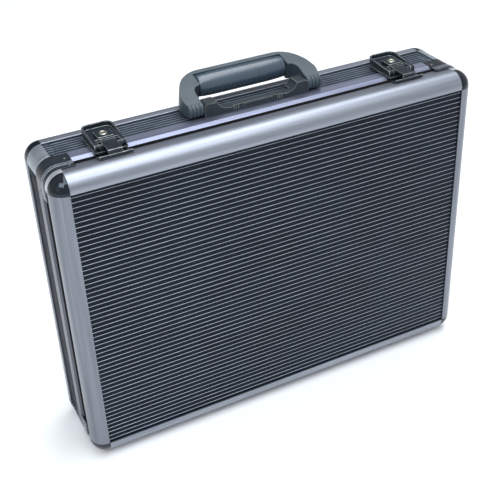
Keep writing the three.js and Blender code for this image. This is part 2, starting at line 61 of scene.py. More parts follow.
# The studio: a pale floor, a pale sky that is darker high up behind the case, a wide soft box over
# it, and a second at the left that draws the long highlights on the rounded aluminium.
def studio_light(name, place, aim, size, power, tint):
    """A rectangular soft box that faces its aim."""
    lamp = bpy.data.lights.new(name, "AREA")
    lamp.shape = "RECTANGLE"
    lamp.size, lamp.size_y = size
    lamp.energy = power
    lamp.color = tint
    holder = bpy.data.objects.new(name, lamp)
    bpy.context.collection.objects.link(holder)
    holder.location = place
    holder.rotation_euler = (Vector(aim) - Vector(place)).to_track_quat("-Z", "Y").to_euler()


world = bpy.data.worlds.new("pale_sky")
bpy.context.scene.world = world
world.use_nodes = True
world.node_tree.nodes["Background"].inputs["Color"].default_value = (0.93, 0.96, 1.0, 1)
sky = world.node_tree.nodes
sky_links = world.node_tree.links
direction = sky.new("ShaderNodeTexCoord")
split = sky.new("ShaderNodeSeparateXYZ")
sky_links.new(direction.outputs["Generated"], split.inputs["Vector"])
behind = sky.new("ShaderNodeMapRange")
behind.inputs["From Min"].default_value = 0.4
behind.inputs["From Max"].default_value = 0.95
behind.inputs["To Max"].default_value = 0.62
sky_links.new(split.outputs["Y"], behind.inputs["Value"])
above_floor = sky.new("ShaderNodeMapRange")
above_floor.inputs["From Min"].default_value = 0.03
above_floor.inputs["From Max"].default_value = 0.18
sky_links.new(split.outputs["Z"], above_floor.inputs["Value"])
shaded = sky.new("ShaderNodeMath")
shaded.operation = "MULTIPLY"
sky_links.new(behind.outputs["Result"], shaded.inputs[0])
sky_links.new(above_floor.outputs["Result"], shaded.inputs[1])
strength = sky.new("ShaderNodeMath")
strength.operation = "SUBTRACT"
strength.inputs[0].default_value = 0.7
sky_links.new(shaded.outputs["Value"], strength.inputs[1])
sky_links.new(strength.outputs["Value"], sky["Background"].inputs["Strength"])
studio_light("soft_box_above", (0.35, -0.1, 2.1), (0.1, 0, 0), (2.8, 1.1), 42, (0.93, 0.96, 1.0))
studio_light("soft_box_left", (-1.8, -0.9, 0.9), (0, 0, 0.15), (0.7, 1.2), 1, (1.0, 0.99, 0.97))
studio_light("key_box", (-0.95, -0.95, 1.65), (-0.1, 0, 0.25), (1.0, 0.8), 15, (0.88, 0.94, 1.0))
bpy.context.scene.view_settings.view_transform = "Standard"

bpy.ops.mesh.primitive_plane_add(size=16, location=(0, 0, 0))
floor = bpy.context.object
floor.name = "floor"
floor_paint = bpy.data.materials.new("floor_paint")
floor_paint.use_nodes = True
floor_shader = floor_paint.node_tree.nodes["Principled BSDF"]
floor_shader.inputs["Base Color"].default_value = (0.95, 0.95, 0.95, 1)
floor_shader.inputs["Roughness"].default_value = 0.9
floor.data.materials.append(floor_paint)

# The rounded edges of the lid: satin anodised extrusions, one along each side, with a channel for
# the face panel and a slope down to the parting line. Each is drawn as a section and pulled out
# along its length, then notched at both ends for the corner brackets.
MM = 0.001
low_edge, high_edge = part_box("lid_edge_top")
half_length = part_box("lid_ball_top_right")[1].x / MM
case_top = high_edge.z / MM
case_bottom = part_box("lid_edge_bottom")[0].z / MM
case_front = low_edge.y / MM
case_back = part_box("back_edge_top")[1].y / MM
parting = high_edge.y / MM - case_front
mid_height = (case_top + case_bottom) / 2
half_height = (case_top - case_bottom) / 2
corner_size = 15.8
edge_radius = 15
wall = 1.6
clearance = 0.3
lip_front = 5.2
lip_back = 6.8
slope_length = 12.3
lid_flat_end = parting - slope_length
groove = 2.5
bracket_leg = 31
bracket_start = 23.7
# Each side's turn about Y, its middle in X and Z, and half its length.
SIDES = {
    "top": (0, 0, case_top, half_length),
    "right": (90, half_length, mid_height, half_height),
    "bottom": (180, 0, case_bottom, half_length),
    "left": (270, -half_length, mid_height, half_height),
}


def arc(centre, radius, start, end, steps):
    """Points of a round stretch as (from front, depth), angles in degrees."""
    angles = [math.radians(start + (end - start) * i / steps) for i in range(steps + 1)]
    return [(centre[0] + radius * math.cos(a), centre[1] + radius * math.sin(a)) for a in angles]


def nothing_selected():
    """Leaves edit mode, with no object selected."""
    if bpy.context.mode != "OBJECT":
        bpy.ops.object.mode_set(mode="OBJECT")
    bpy.ops.object.select_all(action="DESELECT")


def only(piece):
    """Makes one object the selected and active one, in object mode."""
    nothing_selected()
    bpy.context.view_layer.objects.active = piece
    piece.select_set(True)
    return piece


def edit(piece, mode="EDGE"):
    """Opens a piece in edit mode with nothing selected."""
    only(piece)
    bpy.ops.object.mode_set(mode="EDIT")
    bpy.ops.mesh.select_mode(type=mode)
    bpy.ops.mesh.select_all(action="DESELECT")
    return bmesh.from_edit_mesh(piece.data)


def pick(mesh, kind, test):
    """Selects the vertices, edges or faces of an open mesh that pass a test."""
    for element in getattr(mesh, kind):
        if test(element):
            element.select_set(True)
    mesh.select_flush_mode()


def settled(piece, name=""):
    """Moves a piece's place, turn and size into its mesh."""
    only(piece)
    piece.name = name or piece.name
    bpy.ops.object.transform_apply(location=True, rotation=True, scale=True)
    return piece


def finish_mesh(piece, bevel=0, segments=2, smooth=35, limit=35, trim=-1):
    """Merges doubles, turns the faces outwards, softens the edges and shades the piece."""
    edit(piece)
    bpy.ops.mesh.select_all(action="SELECT")
    bpy.ops.mesh.remove_doubles(threshold=0.00001)
    bpy.ops.mesh.normals_make_consistent(inside=False)
    only(piece)
    if bevel:
        soft = piece.modifiers.new("soft_edges", "BEVEL")
        soft.width = bevel * MM
        soft.segments = segments
        soft.limit_method = "ANGLE"
        soft.angle_limit = math.radians(limit)
        soft.material = trim
        bpy.ops.object.modifier_apply(modifier="soft_edges")
    bpy.ops.object.shade_smooth_by_angle(angle=math.radians(smooth))
    even = piece.modifiers.new("even_shading", "WEIGHTED_NORMAL")
    even.keep_sharp = True
    bpy.ops.object.modifier_apply(modifier="even_shading")
    return piece


def drawn_line(name, points):
    """A line of edges: one corner of a plane is kept, and pulled from point to point."""
    nothing_selected()
    bpy.ops.mesh.primitive_plane_add(size=MM, location=(0, 0, 0))
    line = bpy.context.object
    line.name = name
    mesh = edit(line, "VERT")
    pick(mesh, "verts", lambda v: v.index > 0)
    bpy.ops.mesh.delete(type="VERT")
    bpy.ops.mesh.select_all(action="SELECT")
    mesh = bmesh.from_edit_mesh(line.data)
    mesh.verts.ensure_lookup_table()
    bpy.ops.transform.translate(value=Vector(points[0]) * MM - mesh.verts[0].co)
    for here, there in zip(points, points[1:]):
        step = (Vector(there) - Vector(here)) * MM
        bpy.ops.mesh.extrude_vertices_move(TRANSFORM_OT_translate={"value": step})
    bpy.ops.mesh.select_all(action="SELECT")
    return line


def drawn_face(name, outline, x):
    """A flat section across X, from its outline as (from front, depth)."""
    face = drawn_line(name, [(x, front, -depth) for front, depth in outline])
    bpy.ops.mesh.edge_face_add()
    return face


def pull(x=0, y=0, z=0):
    """Extrudes what is selected by a distance in millimetres."""
    bpy.ops.mesh.extrude_region_move(TRANSFORM_OT_translate={"value": (x * MM, y * MM, z * MM)})


def section_bar(name, outline, half, bevel=0.15, segments=2):
    """A bar along X with the drawn section."""
    bar = drawn_face(name, outline, -half)
    pull(x=2 * half)
    return finish_mesh(bar, bevel, segments)


def place(piece, turn, point, from_back=False):
    """Turns a piece drawn for the top (or the top left corner) to its own side, and fixes it."""
    spin = Matrix.Rotation(math.radians(turn), 4, "Y")
    flip = Matrix.Rotation(math.pi, 4, "Z") if from_back else Matrix.Identity(4)
    piece.matrix_world = Matrix.Translation(Vector(point) * MM) @ spin @ flip
    return settled(piece)


def on_side(piece, side, from_back=False):
    """Turns a piece drawn for the top to its own side."""
    turn, x, z, _ = SIDES[side]
    return place(piece, turn, (x, case_back if from_back else case_front, z), from_back)


def copy_of(piece, name):
    """A copy with a mesh of its own."""
    twin = piece.copy()
    twin.data = piece.data.copy()
    twin.name = name
    bpy.context.collection.objects.link(twin)
    return twin


def notch(piece, low, high):
    """Cuts a box out of a piece."""
    size = [(b - a) * MM for a, b in zip(low, high)]
    middle = [(a + b) / 2 * MM for a, b in zip(low, high)]
    bpy.ops.mesh.primitive_cube_add(size=1, location=middle, scale=size)
    cutter = bpy.context.object
    only(piece)
    cut = piece.modifiers.new("notch", "BOOLEAN")
    cut.operation = "DIFFERENCE"
    cut.object = cutter
    bpy.ops.object.modifier_apply(modifier="notch")
    bpy.data.objects.remove(cutter)
    return piece


def linear(r, g, b):
    """An sRGB colour, 0 to 255, as linear values with alpha."""
    channels = [c / 255 for c in (r, g, b)]
    return [c / 12.92 if c < 0.04045 else ((c + 0.055) / 1.055) ** 2.4 for c in channels] + [1]


class Finish:
    """A material with one shader, and the few nodes that vary it across the surface."""

    def __init__(self, name, colour, roughness, metallic=0.0, stretch=(1, 1, 1)):
        self.material = bpy.data.materials.new(name)
        self.material.use_nodes = True
        self.nodes = self.material.node_tree.nodes
        self.links = self.material.node_tree.links
        self.shader = self.nodes["Principled BSDF"]
        self.shader.inputs["Base Color"].default_value = colour
        self.shader.inputs["Roughness"].default_value = roughness
        self.shader.inputs["Metallic"].default_value = metallic
        coordinates = self.nodes.new("ShaderNodeTexCoord")
        self.mapping = self.nodes.new("ShaderNodeMapping")
        self.mapping.inputs["Scale"].default_value = stretch
        self.links.new(coordinates.outputs["Object"], self.mapping.inputs["Vector"])

    def noise(self, scale, detail=4.0):
        """A noise over the piece, as a value from 0 to 1."""
        node = self.nodes.new("ShaderNodeTexNoise")
        node.inputs["Scale"].default_value = scale
        node.inputs["Detail"].default_value = detail
        self.links.new(self.mapping.outputs["Vector"], node.inputs["Vector"])
        return node.outputs["Fac"]

    def mottled(self, scale, dark, light, detail=4.0, spread=(0.3, 0.7)):
        """Lets the colour drift between two shades."""
        value = self.noise(scale, detail)
        ramp = self.nodes.new("ShaderNodeValToRGB")
        for stop, position, colour in zip(ramp.color_ramp.elements, spread, (dark, light)):
            stop.position = position
            stop.color = colour
        self.links.new(value, ramp.inputs["Fac"])
        self.links.new(ramp.outputs["Color"], self.shader.inputs["Base Color"])

    def roughness(self, value, low, high):
        """Lets the roughness follow a value, between two limits."""
        band = self.nodes.new("ShaderNodeMapRange")
        band.inputs["To Min"].default_value = low
        band.inputs["To Max"].default_value = high
        self.links.new(value, band.inputs["Value"])
        self.links.new(band.outputs["Result"], self.shader.inputs["Roughness"])

    def bump(self, value, strength, height):
        """Raises a fine grain that follows a value, with its height in metres."""
        bump = self.nodes.new("ShaderNodeBump")
        bump.inputs["Strength"].default_value = strength
        bump.inputs["Distance"].default_value = height
        self.links.new(value, bump.inputs["Height"])
        self.links.new(bump.outputs["Normal"], self.shader.inputs["Normal"])


def anodised(name, dark, light, along, rough=(0.3, 0.42)):
    """Anodised aluminium with drawing lines along X or Z."""
    stretch = (0.03, 1, 1) if along == "X" else (1, 1, 0.03)
    metal = Finish(name, light, rough[0], 0.92, stretch)
    metal.mottled(240, dark, light)
    grain = metal.noise(1800, 6)
    metal.roughness(grain, *rough)
    metal.bump(grain, 0.12, 0.00004)
    return metal.material


# The upright extrusions get a darker copy of the satin aluminium: painted shade on the upright sides
# of the case.
satin = {
    "X": anodised("satin_aluminium_long", linear(138, 143, 153), linear(158, 163, 173), "X",
                  (0.36, 0.48)),
    "Z": anodised("satin_aluminium_upright_painted_shade", linear(114, 119, 127), linear(132, 137, 145), "Z"),
}


def paint(piece, material, body):
    """Gives a piece its material, and fixes it to its body."""
    piece.data.materials.clear()
    piece.data.materials.append(material)
    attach(piece, body)
    return piece


def grain_of(side):
    """The way an extrusion on this side was drawn; for the upright sides it also picks the darker
    copies with painted shade.
    """
    return "X" if side in ("top", "bottom") else "Z"


inner_radius = edge_radius - wall
rounded_outside = arc((edge_radius, edge_radius), edge_radius, 180, 270, 18)
lip_reach = math.degrees(math.asin((edge_radius - lip_back) / inner_radius))
channel_reach = math.degrees(math.asin((edge_radius - lip_front) / inner_radius))
channel_and_inside = (
    [(wall, corner_size)]
    + arc((edge_radius, edge_radius), inner_radius, 180, 180 + 90 - channel_reach, 6)
    + [(lip_front, corner_size), (lip_back, corner_size)]
    + arc((edge_radius, edge_radius), inner_radius, 270 - lip_reach, 270, 6)
)
lid_outline = (
    [(0, corner_size)]
    + rounded_outside
    + [(lid_flat_end - 0.5, 0), (lid_flat_end, 0.3)]
    + [(parting - 0.5, groove), (parting - 0.5, groove + wall), (lid_flat_end, wall + 0.2)]
    + channel_and_inside[::-1]
)
for side in SIDES:
    half = SIDES[side][3]
    edge = section_bar("lid_edge_" + side + "_look", lid_outline, half - corner_size - clearance)
    start = half - bracket_leg - clearance
    for low, high in ((start, half), (-half, -start)):
        notch(edge, (low, bracket_start, -6), (high, parting + 1, 1))
    on_side(edge, side)
    paint(edge, satin[grain_of(side)], "lid")
    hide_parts("lid_edge_" + side)

# The base's rounded back edges: the same drawn section without the slope, and with a second
# channel that holds the back of each side panel.
back_lip = edge_radius + 5.5
channel_depth = 3.3
side_channel = back_lip - channel_depth
back_outline = (
    [(0, corner_size)]
    + rounded_outside
    + [(back_lip - 0.4, 0), (back_lip, 0.4), (back_lip, wall), (side_channel, wall)]
    + [(side_channel, lip_front), (back_lip, lip_front), (back_lip, lip_back)]
    + [(side_channel - wall, lip_back), (side_channel - wall, wall)]
    + channel_and_inside[::-1]
)
for side in SIDES:
    edge = section_bar("back_edge_" + side + "_look", back_outline,
                       SIDES[side][3] - corner_size - clearance)
    on_side(edge, side, True)
    paint(edge, satin[grain_of(side)], "base")
    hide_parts("back_edge_" + side)

# The lid's and the base's corner balls: pressed black caps over the three edges that meet there.
# One is an eighth of a ball with a short collar, and the others are copies turned to their corner.
# Each corner's turn about Y and its place in X and Z, and the turn of the back's own corners.
CORNERS = {
    "top_left": (0, -half_length, case_top),
    "top_right": (90, half_length, case_top),
    "bottom_right": (180, half_length, case_bottom),
    "bottom_left": (270, -half_length, case_bottom),
}
BACK_CORNERS = {"top_right": 0, "bottom_right": 90, "bottom_left": 180, "top_left": 270}
ball_proud = 0.25
ball_wall = 1.4


def in_corner(piece, corner, from_back=False):
    """Turns a piece drawn for the top left corner to its own corner."""
    turn, x, z = CORNERS[corner]
    turn = BACK_CORNERS[corner] if from_back else turn
    return place(piece, turn, (x, case_back if from_back else case_front, z), from_back)


def cap_of_ball(collar):
    """An eighth of a ball for the top left corner, with a collar towards the other shell."""
    centre = Vector((corner_size, corner_size, -corner_size)) * MM
    bpy.ops.mesh.primitive_uv_sphere_add(
        segments=64, ring_count=32, radius=(corner_size + ball_proud) * MM, location=centre)
    cap = settled(bpy.context.object)
    mesh = edit(cap, "VERT")
    past = 0.01 * MM
    pick(mesh, "verts", lambda v: v.co.x > centre.x + past or v.co.y > centre.y + past
         or v.co.z < centre.z - past)
    bpy.ops.mesh.delete(type="VERT")
    mesh = edit(cap, "EDGE")
    pick(mesh, "edges", lambda e: all(abs(v.co.y - centre.y) < past for v in e.verts))
    bpy.ops.mesh.extrude_edges_move(TRANSFORM_OT_translate={"value": (0, collar * MM, 0)})
    finish_mesh(cap)
    shell = cap.modifiers.new("shell", "SOLIDIFY")
    shell.thickness = ball_wall * MM
    shell.offset = 1
    bpy.ops.object.modifier_apply(modifier="shell")
    return finish_mesh(cap, 0.2, 3)


black_gloss = Finish("black_gloss", linear(8, 12, 20), 0.12)
black_gloss.mottled(60, linear(6, 9, 15), linear(10, 15, 25))
black_gloss.roughness(black_gloss.noise(350), 0.05, 0.14)
black_gloss.shader.inputs["Specular IOR Level"].default_value = 0.5
black_gloss.shader.inputs["Specular Tint"].default_value = (0.78, 0.9, 1.0, 1)
balls = {False: cap_of_ball(0.5), True: cap_of_ball(4.7)}
for from_back, first in balls.items():
    shell_name, body = ("back", "base") if from_back else ("lid", "lid")
    for corner in CORNERS:
        ball = copy_of(first, shell_name + "_ball_" + corner + "_look")
        in_corner(ball, corner, from_back)
        paint(ball, black_gloss.material, body)
        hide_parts(shell_name + "_ball_" + corner)
    bpy.data.objects.remove(first)

# The light sleeves between the lid's balls and its corner brackets: short round aluminium collars,
# spun a quarter turn round each corner.
sleeve_end = bracket_start - 0.1


def corner_strip(name, profile, leg, bevel=0.2):
    """An L round a corner: a section pulled along one side, spun a quarter turn, pulled on."""
    strip = drawn_face(name, profile, leg)
    if leg > corner_size:
        pull(x=corner_size - leg)
    bpy.ops.mesh.spin(
        steps=16, angle=math.pi / 2, center=(corner_size * MM, 0, -corner_size * MM), axis=(0, 1, 0))
    if leg > corner_size:
        pull(z=corner_size - leg)
    return finish_mesh(strip, bevel)


silver = Finish("silver_collar", linear(196, 200, 206), 0.34, 0.7)
silver.mottled(120, linear(184, 189, 196), linear(208, 212, 217))
silver.roughness(silver.noise(900), 0.26, 0.4)
sleeve_profile = [(16.3, 0.1), (19, -0.25), (sleeve_end, 0.1), (sleeve_end, 1.7), (16.3, 1.7)]
first_sleeve = corner_strip("sleeve", sleeve_profile, corner_size + 1.2)
for corner in CORNERS:
    sleeve = in_corner(copy_of(first_sleeve, "lid_sleeve_" + corner), corner)
    paint(sleeve, silver.material, "lid")
bpy.data.objects.remove(first_sleeve)

# The black corner brackets: moulded L strips over the groove at each corner, one on the lid and
# one on the base. Each has a raised bead at the parting line and a domed steel rivet in each leg.
black_satin = Finish("black_satin", linear(32, 37, 44), 0.3)
black_satin.mottled(90, linear(26, 31, 37), linear(38, 44, 51))
black_satin.shader.inputs["Specular IOR Level"].default_value = 0.3
black_satin.bump(black_satin.noise(1500), 0.15, 0.00006)
rivet_metal = Finish("rivet_metal", linear(120, 124, 130), 0.3, 0.9)
rivet_metal.roughness(rivet_metal.noise(600), 0.25, 0.45)
rail_end = 51.9
bracket_profiles = {
    "lid": [(23.9, 0.9), (24.4, 0.2), (30.4, 0.1), (30.9, 0.5), (30.9, 1.9), (23.9, 1.9)],
    "base": [
        (31.3, 0.5), (31.8, 0), (50.9, 0), (51.5, 0.3), (rail_end, 1), (rail_end, 1.8), (31.3, 1.8),
    ],
}
bead_profiles = {
    "lid": [(29.2, 0.3), (29.4, -0.5), (29.9, -0.5), (30.1, 0.3)],
    "base": [(32.2, 0.2), (32.4, -0.55), (33.0, -0.55), (33.2, 0.2)],
}
rivet_depths = {"lid": 27, "base": 41}
bead_grey = Finish("bead_grey", linear(150, 156, 164), 0.3, 0.5)
bead_grey.mottled(300, linear(120, 126, 136), linear(170, 176, 184))
bead_grey.roughness(bead_grey.noise(700), 0.24, 0.38)


def dome(name, radius, at, scale, segments=24):
    """A flattened ball, for the head of a rivet or a screw."""
    nothing_selected()
    bpy.ops.mesh.primitive_uv_sphere_add(
        segments=segments, ring_count=segments // 2, radius=radius * MM, scale=scale,
        location=[value * MM for value in at])
    head = settled(bpy.context.object, name)
    bpy.ops.object.shade_smooth()
    return head


def joined(name, pieces):
    """Joins pieces into one object."""
    only(pieces[0])
    for other in pieces[1:]:
        other.select_set(True)
    bpy.ops.object.join()
    whole = bpy.context.object
    whole.name = name
    return whole


def leg_rivets(depth, leg):
    """A rivet in each leg of a bracket, drawn for the top left corner."""
    along_top = dome("rivet", 1.2, (leg, depth, 0), (1, 1, 0.45), 20)
    down_side = dome("rivet", 1.2, (0, depth, -leg), (0.45, 1, 1), 20)
    return joined("rivets", [along_top, down_side])


for shell_name, profile in bracket_profiles.items():
    first = corner_strip(shell_name + "_bracket", profile, bracket_leg, 0.25)
    first_bead = corner_strip(shell_name + "_bead", bead_profiles[shell_name], bracket_leg - 0.4, 0.1)
    first_rivets = leg_rivets(rivet_depths[shell_name], bracket_leg - 5)
    for corner in CORNERS:
        bracket = in_corner(copy_of(first, shell_name + "_bracket_" + corner + "_look"), corner)
        paint(bracket, black_satin.material, shell_name)
        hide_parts(shell_name + "_bracket_" + corner)
        bead = in_corner(copy_of(first_bead, shell_name + "_bead_" + corner), corner)
        paint(bead, bead_grey.material, shell_name)
        rivets = in_corner(copy_of(first_rivets, shell_name + "_rivets_" + corner), corner)
        paint(rivets, rivet_metal.material, shell_name)
    bpy.data.objects.remove(first)
    bpy.data.objects.remove(first_bead)
    bpy.data.objects.remove(first_rivets)

# The face panels of the lid and the base: dark laminate boards that slide under the edge lips,
# with thin light ribs across them. One rib is drawn and repeated down each board.
laminate = Finish("dark_laminate", linear(13, 17, 27), 0.3)
laminate.mottled(14, linear(8, 13, 22), linear(13, 20, 32), detail=3, spread=(0.35, 0.65))
laminate.roughness(laminate.noise(500), 0.24, 0.36)
laminate.bump(laminate.noise(2500), 0.06, 0.00003)
laminate.shader.inputs["Specular IOR Level"].default_value = 0.12
rib_metal = Finish("light_rib", linear(152, 162, 176), 0.4, 0.3, (0.05, 1, 1))
rib_metal.mottled(400, linear(136, 146, 160), linear(166, 176, 190))
rib_metal.roughness(rib_metal.noise(900), 0.3, 0.45)
rib_pitch = 5.2
rib_count = 57
rib_width = 0.4
rib_height = 0.28
panel_face = 1.9
board_corner = 12.3


def repeated(piece, count, step):
    """Repeats a piece at even steps, in millimetres."""
    row = piece.modifiers.new("row", "ARRAY")
    row.count = count
    row.use_relative_offset = False
    row.use_constant_offset = True
    row.constant_offset_displace = [value * MM for value in step]
    only(piece)
    bpy.ops.object.modifier_apply(modifier="row")


def face_panel(from_back):
    """A board with rounded corners in its node's place, and its row of ribs."""
    node = "back_panel" if from_back else "lid_panel"
    low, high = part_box(node)
    bpy.ops.mesh.primitive_cube_add(size=1, location=(low + high) / 2, scale=high - low)
    board = settled(bpy.context.object, node + "_look")
    mesh = edit(board)
    pick(mesh, "edges", lambda e: abs(e.verts[0].co.y - e.verts[1].co.y) > MM)
    bpy.ops.mesh.bevel(offset=board_corner * MM, segments=8, affect="EDGES")
    finish_mesh(board, 0.2)
    paint(board, laminate.material, "base" if from_back else "lid")
    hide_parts(node)
    half = (high.x - low.x) / 2 / MM - 3.5
    foot, crest = rib_width / 2 + 0.1, rib_width / 2 - 0.1
    outline = [(0.05, foot), (0.05, -foot), (-rib_height, -crest), (-rib_height, crest)]
    ribs = section_bar(node + "_ribs", outline, half, 0.08)
    repeated(ribs, rib_count, (0, 0, -rib_pitch))
    top_rib = mid_height + rib_pitch * (rib_count - 1) / 2
    y = case_back - panel_face if from_back else case_front + panel_face
    place(ribs, 0, (0, y, top_rib), from_back)
    paint(ribs, rib_metal.material, "base" if from_back else "lid")


face_panel(False)
face_panel(True)

# The closing rails round the base: bright extrusions that meet the lid at the groove. Four fine
# flutes run along the slope, and a tongue on three sides reaches into the lid.
base_start = parting + clearance
rail_flat = 39.5
# The upright rails get a much darker copy of the rail aluminium: painted shade on the upright sides
# of the case.
bright = {
    "X": anodised("bright_aluminium_long", linear(122, 126, 146), linear(146, 150, 170), "X",
                  (0.38, 0.48)),
    "Z": anodised("bright_aluminium_upright_painted_shade", linear(70, 73, 82), linear(90, 93, 102), "Z",
                  (0.3, 0.4)),
}
rail_channel = rail_end - channel_depth
seal_and_shade_width = 2.9
flutes = 4
slope = []
for step in range(2 * flutes):
    t = step / (2 * flutes)
    sink = 0.35 if step % 2 else 0
    slope.append((base_start + seal_and_shade_width + 5.2 * t, groove - 0.83 - 1.62 * t + sink))
rail_outline = (
    [(base_start, groove)]
    + slope
    + [(rail_flat, 0), (rail_end - 0.5, 0), (rail_end, 0.5), (rail_end, wall)]
    + [(rail_channel, wall), (rail_channel, lip_front), (rail_end, lip_front)]
    + [(rail_end, lip_back), (rail_channel - wall, lip_back), (rail_channel - wall, wall)]
    + [(rail_flat, wall), (base_start + wall, groove + wall)]
)
tongue = [
    (base_start + wall, lip_back), (parting - 3, lip_back), (parting - 3, lip_front),
    (base_start, lip_front),
]
for side in SIDES:
    ending = [(base_start, groove + wall)] if side == "bottom" else tongue
    rail = section_bar("closing_rail_" + side + "_look", rail_outline + ending,
                       SIDES[side][3] - bracket_leg - clearance, 0.1)
    on_side(rail, side)
    paint(rail, bright[grain_of(side)], "base")
    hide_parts("closing_rail_" + side)

# The dust seal: a black rubber strip along the foot of the slope, clipped to the rail, that closes
# the gap where the shells meet. It is drawn wide over the foot of the slope as painted shade for
# the shaded groove.
seal_rubber_and_groove_shade = Finish("seal_rubber_and_groove_shade", linear(8, 8, 10), 0.8)
seal_rubber_and_groove_shade.shader.inputs["Specular IOR Level"].default_value = 0.1
seal_rubber_and_groove_shade.mottled(200, linear(6, 6, 8), linear(12, 12, 14))
seal_rubber_and_groove_shade.bump(seal_rubber_and_groove_shade.noise(1500), 0.2, 0.00005)
seal_outline = [
    (parting - 0.4, groove + 0.1), (parting - 0.1, groove - 0.3),
    (base_start + seal_and_shade_width - 0.1, groove - 1.13), (base_start + seal_and_shade_width + 0.1, groove - 0.86),
    (base_start + 0.3, groove + 0.9), (parting - 0.4, groove + 0.9),
]
for side in SIDES:
    seal = section_bar("dust_seal_and_groove_shade_" + side, seal_outline, SIDES[side][3] - bracket_leg - 0.5, 0.1)
    on_side(seal, side)
    paint(seal, seal_rubber_and_groove_shade.material, "base")

# The side panels: dark laminate strips that slide between the closing rails and the back edges,
# with fine ribs running along them. The upright strips and their ribs get darker copies of the same
# finishes: painted shade on the upright sides of the case. One rib is drawn for each side and
# repeated across the strip.


def strip_finish(name, dark, light, roughness, metallic, specular):
    """A coated strip's finish, mottled slightly between two colours."""
    coat = Finish(name, light, roughness, metallic)
    coat.mottled(60, dark, light, detail=3)
    coat.roughness(coat.noise(700), roughness - 0.06, roughness + 0.06)
    coat.bump(coat.noise(2500), 0.06, 0.00003)
    coat.shader.inputs["Specular IOR Level"].default_value = specular
    return coat.material


# The upright strips and ribs take darker colours than the long ones: painted shade on the upright
# sides.
side_laminate = {
    "X": strip_finish("side_laminate_long", linear(26, 32, 40), linear(35, 42, 51), 0.4, 0, 0.18),
    "Z": strip_finish("side_laminate_upright_painted_shade", linear(14, 15, 20), linear(22, 23, 30), 0.45, 0, 0.1),
}
side_rib = {
    "X": strip_finish("side_rib_long", linear(86, 96, 108), linear(112, 122, 134), 0.36, 0.5, 0.5),
    "Z": strip_finish("side_rib_upright_painted_shade", linear(48, 50, 58), linear(62, 64, 74), 0.45, 0.3, 0.2),
}
side_rib_pitch = 4.6
side_rib_count = 6
panel_back = case_back - case_front - back_lip + 3
first_side_rib = 54.8
for side in SIDES:
    half = SIDES[side][3] - corner_size - clearance
    faces = [(rail_end - 3, panel_face), (panel_back, panel_face)]
    faces += [(panel_back, panel_face + 3), (rail_end - 3, panel_face + 3)]
    strip = section_bar("side_panel_" + side + "_look", faces, half, 0.15)
    on_side(strip, side)
    paint(strip, side_laminate[grain_of(side)], "base")
    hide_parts("side_panel_" + side)
    foot, crest = panel_face + 0.05, panel_face - 0.4
    outline = [(first_side_rib - 0.8, foot), (first_side_rib - 0.6, crest)]
    outline += [(first_side_rib + 0.6, crest), (first_side_rib + 0.8, foot)]
    ribs = section_bar("side_ribs_" + side, outline, half - 0.2, 0.08)
    repeated(ribs, side_rib_count, (0, side_rib_pitch, 0))
    on_side(ribs, side)
    paint(ribs, side_rib[grain_of(side)], "base")

# The base's corner rounds: rolled silver corner pieces between the black brackets and the back
# balls, each with a rounded tongue that laps over the side panels.
round_start = rail_end + clearance
round_end = case_back - case_front - back_lip - clearance
satin_silver = Finish("satin_silver", linear(172, 180, 187), 0.4, 0.85)
satin_silver.mottled(60, linear(162, 170, 178), linear(182, 190, 197))
satin_silver.roughness(satin_silver.noise(1200), 0.34, 0.48)
satin_silver.bump(satin_silver.noise(2000), 0.1, 0.00004)
round_profile = [
    (round_start, 0.2), (round_start + 0.3, 0), (round_end - 0.3, 0), (round_end, 0.2),
    (round_end, 4.9), (round_start, 4.9),
]
tongue_reach = 9
tongue_thickness = 1.5


def tongue_plate(turned_down):
    """Half of a flat disc, drawn out to an oval, that lies over a side panel."""
    nothing_selected()
    bpy.ops.mesh.primitive_cylinder_add(vertices=64, radius=MM, depth=MM)
    disc = bpy.context.object
    disc.scale = (tongue_reach, (round_end - round_start) / 2, tongue_thickness)
    disc.rotation_euler = (0, math.pi / 2 if turned_down else 0, 0)
    middle = (round_start + round_end) / 2
    depth, reach = 0.85, corner_size - 0.2
    disc.location = Vector((depth, middle, -reach) if turned_down else (reach, middle, -depth)) * MM
    settled(disc)
    mesh = edit(disc, "VERT")
    past_edge = (corner_size - 0.3) * MM
    pick(mesh, "verts", lambda v: (-v.co.z if turned_down else v.co.x) < past_edge)
    bpy.ops.mesh.delete(type="VERT")
    mesh = edit(disc, "EDGE")
    pick(mesh, "edges", lambda e: e.is_boundary)
    bpy.ops.mesh.edge_face_add()
    return finish_mesh(disc, 0.25)


first_strip = corner_strip("corner_round", round_profile, corner_size, 0.2)
first_round = joined("corner_round", [first_strip, tongue_plate(False), tongue_plate(True)])
for corner in CORNERS:
    rounded = in_corner(copy_of(first_round, "corner_round_" + corner + "_look"), corner)
    paint(rounded, satin_silver.material, "base")
    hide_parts("corner_round_" + corner)
bpy.data.objects.remove(first_round)

